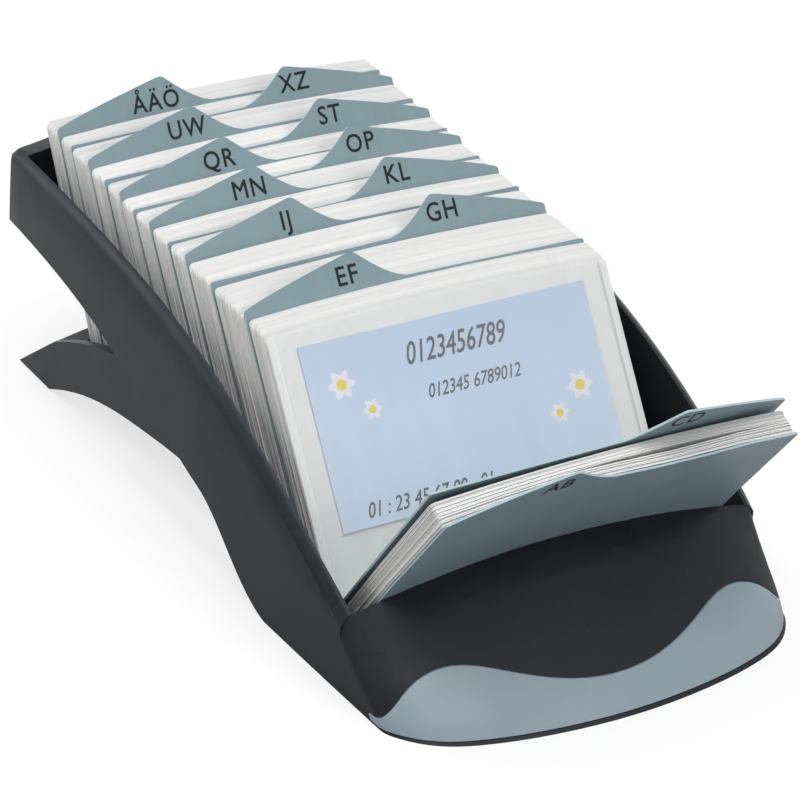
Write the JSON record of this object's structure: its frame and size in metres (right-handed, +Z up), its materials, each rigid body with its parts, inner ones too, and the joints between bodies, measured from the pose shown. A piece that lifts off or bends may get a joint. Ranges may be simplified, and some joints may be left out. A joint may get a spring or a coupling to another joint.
{
  "type": "business card file",
  "caption": "Open desk tray, raised at the rear, with index dividers and clear card pockets that lean back on two rails and flip forward.",
  "frame": {"origin": "on the desk, under the middle of the tray's outline", "axes": "+Z up, +Y towards the raised rear, -Y towards the user and the front trim, +X to the user's right"},
  "size_m": [0.1292, 0.251, 0.0868],
  "materials": {
    "tray_plastic": "fine-textured moulded dark anthracite",
    "trim_plastic": "satin blue-grey",
    "rail_steel": "drawn wire",
    "foot_rubber": "soft matte",
    "screw_steel": "zinc plated",
    "pocket_film": "milky translucent film with welded edges",
    "divider_plastic": "satin grey-teal sheet",
    "card_stock": "coated printed card"
  },
  "bodies": {
    "tray": {"cradle": "tray_plastic", "base": "tray_plastic", "front_trim": "trim_plastic", "rail_left": "rail_steel", "rail_right": "rail_steel", "feet": "foot_rubber", "base_screws": "screw_steel"},
    "front_group": {"pockets_ab": "pocket_film"},
    "divider_ab": {"divider_ab": "divider_plastic"},
    "divider_cd": {"divider_cd": "divider_plastic"},
    "pack_cd": {"display_pocket": "pocket_film", "pockets_cd": "pocket_film"},
    "card": {"business_card": "card_stock"},
    "pack_ef": {"pockets_ef": "pocket_film"},
    "divider_ef": {"divider_ef": "divider_plastic"},
    "pack_gh": {"pockets_gh": "pocket_film"},
    "divider_gh": {"divider_gh": "divider_plastic"},
    "pack_ij": {"pockets_ij": "pocket_film"},
    "divider_ij": {"divider_ij": "divider_plastic"},
    "pack_kl": {"pockets_kl": "pocket_film"},
    "divider_kl": {"divider_kl": "divider_plastic"},
    "pack_mn": {"pockets_mn": "pocket_film"},
    "divider_mn": {"divider_mn": "divider_plastic"},
    "pack_op": {"pockets_op": "pocket_film"},
    "divider_op": {"divider_op": "divider_plastic"},
    "pack_qr": {"pockets_qr": "pocket_film"},
    "divider_qr": {"divider_qr": "divider_plastic"},
    "pack_st": {"pockets_st": "pocket_film"},
    "divider_st": {"divider_st": "divider_plastic"},
    "pack_uv": {"pockets_uv": "pocket_film"},
    "divider_uv": {"divider_uv": "divider_plastic"},
    "pack_wx": {"pockets_wx": "pocket_film"},
    "divider_wx": {"divider_wx": "divider_plastic"},
    "pack_yz": {"pockets_yz": "pocket_film"},
    "divider_yz": {"divider_yz": "divider_plastic"}
  },
  "joints": [
    {"name": "front_group_flip", "type": "hinge", "parent": "tray", "child": "front_group", "pos_m": [0, -0.06396, 0.01224], "axis": [1, 0, 0], "range_deg": [-70, 0]},
    {"name": "divider_ab_lift", "type": "slide", "parent": "front_group", "child": "divider_ab", "axis": [0, -0.6225, 0.7826], "range_m": [0, 0.06]},
    {"name": "divider_cd_lift", "type": "slide", "parent": "front_group", "child": "divider_cd", "axis": [0, -0.6018, 0.7986], "range_m": [0, 0.06]},
    {"name": "pack_cd_flip", "type": "hinge", "parent": "tray", "child": "pack_cd", "pos_m": [0, -0.06056, 0.01296], "axis": [1, 0, 0], "range_deg": [0, 68]},
    {"name": "card_slide", "type": "slide", "parent": "pack_cd", "child": "card", "axis": [0, 0.5446, 0.8387], "range_m": [0, 0.045]},
    {"name": "pack_ef_flip", "type": "hinge", "parent": "tray", "child": "pack_ef", "pos_m": [0, -0.04934, 0.0132], "axis": [1, 0, 0], "range_deg": [0, 68.08]},
    {"name": "divider_ef_lift", "type": "slide", "parent": "pack_ef", "child": "divider_ef", "axis": [0, 0.5385, 0.8427], "range_m": [0, 0.06]},
    {"name": "pack_gh_flip", "type": "hinge", "parent": "tray", "child": "pack_gh", "pos_m": [0, -0.02938, 0.01361], "axis": [1, 0, 0], "range_deg": [0, 67.33]},
    {"name": "divider_gh_lift", "type": "slide", "parent": "pack_gh", "child": "divider_gh", "axis": [0, 0.5274, 0.8496], "range_m": [0, 0.06]},
    {"name": "pack_ij_flip", "type": "hinge", "parent": "tray", "child": "pack_ij", "pos_m": [0, -0.01506, 0.01391], "axis": [1, 0, 0], "range_deg": [0, 67.07]},
    {"name": "divider_ij_lift", "type": "slide", "parent": "pack_ij", "child": "divider_ij", "axis": [0, 0.5236, 0.852], "range_m": [0, 0.06]},
    {"name": "pack_kl_flip", "type": "hinge", "parent": "tray", "child": "pack_kl", "pos_m": [0, -0.00451, 0.01412], "axis": [1, 0, 0], "range_deg": [0, 66.95]},
    {"name": "divider_kl_lift", "type": "slide", "parent": "pack_kl", "child": "divider_kl", "axis": [0, 0.5218, 0.8531], "range_m": [0, 0.06]},
    {"name": "pack_mn_flip", "type": "hinge", "parent": "tray", "child": "pack_mn", "pos_m": [0, 0.00605, 0.01434], "axis": [1, 0, 0], "range_deg": [0, 66.83]},
    {"name": "divider_mn_lift", "type": "slide", "parent": "pack_mn", "child": "divider_mn", "axis": [0, 0.52, 0.8542], "range_m": [0, 0.06]},
    {"name": "pack_op_flip", "type": "hinge", "parent": "tray", "child": "pack_op", "pos_m": [0, 0.01659, 0.01456], "axis": [1, 0, 0], "range_deg": [0, 66.2]},
    {"name": "divider_op_lift", "type": "slide", "parent": "pack_op", "child": "divider_op", "axis": [0, 0.5105, 0.8599], "range_m": [0, 0.06]},
    {"name": "pack_qr_flip", "type": "hinge", "parent": "tray", "child": "pack_qr", "pos_m": [0, 0.02525, 0.01475], "axis": [1, 0, 0], "range_deg": [0, 65.54]},
    {"name": "divider_qr_lift", "type": "slide", "parent": "pack_qr", "child": "divider_qr", "axis": [0, 0.5005, 0.8657], "range_m": [0, 0.06]},
    {"name": "pack_st_flip", "type": "hinge", "parent": "tray", "child": "pack_st", "pos_m": [0, 0.03578, 0.01498], "axis": [1, 0, 0], "range_deg": [0, 64.73]},
    {"name": "divider_st_lift", "type": "slide", "parent": "pack_st", "child": "divider_st", "axis": [0, 0.4883, 0.8727], "range_m": [0, 0.06]},
    {"name": "pack_uv_flip", "type": "hinge", "parent": "tray", "child": "pack_uv", "pos_m": [0, 0.04632, 0.01521], "axis": [1, 0, 0], "range_deg": [0, 63.92]},
    {"name": "divider_uv_lift", "type": "slide", "parent": "pack_uv", "child": "divider_uv", "axis": [0, 0.476, 0.8795], "range_m": [0, 0.06]},
    {"name": "pack_wx_flip", "type": "hinge", "parent": "tray", "child": "pack_wx", "pos_m": [0, 0.05873, 0.01547], "axis": [1, 0, 0], "range_deg": [0, 62.97]},
    {"name": "divider_wx_lift", "type": "slide", "parent": "pack_wx", "child": "divider_wx", "axis": [0, 0.4613, 0.8873], "range_m": [0, 0.06]},
    {"name": "pack_yz_flip", "type": "hinge", "parent": "tray", "child": "pack_yz", "pos_m": [0, 0.06739, 0.01566], "axis": [1, 0, 0], "range_deg": [0, 62.31]},
    {"name": "divider_yz_lift", "type": "slide", "parent": "pack_yz", "child": "divider_yz", "axis": [0, 0.451, 0.8925], "range_m": [0, 0.06]}
  ],
  "couplings": [
    {"joint": "pack_ef_flip", "follows": "pack_cd_flip", "ratio": 0.99381},
    {"joint": "pack_gh_flip", "follows": "pack_cd_flip", "ratio": 0.98279},
    {"joint": "pack_ij_flip", "follows": "pack_cd_flip", "ratio": 0.97904},
    {"joint": "pack_kl_flip", "follows": "pack_cd_flip", "ratio": 0.97725},
    {"joint": "pack_mn_flip", "follows": "pack_cd_flip", "ratio": 0.97546},
    {"joint": "pack_op_flip", "follows": "pack_cd_flip", "ratio": 0.96615},
    {"joint": "pack_qr_flip", "follows": "pack_cd_flip", "ratio": 0.9564},
    {"joint": "pack_st_flip", "follows": "pack_cd_flip", "ratio": 0.94453},
    {"joint": "pack_uv_flip", "follows": "pack_cd_flip", "ratio": 0.93266},
    {"joint": "pack_wx_flip", "follows": "pack_cd_flip", "ratio": 0.91868},
    {"joint": "pack_yz_flip", "follows": "pack_cd_flip", "ratio": 0.90893}
  ]
}
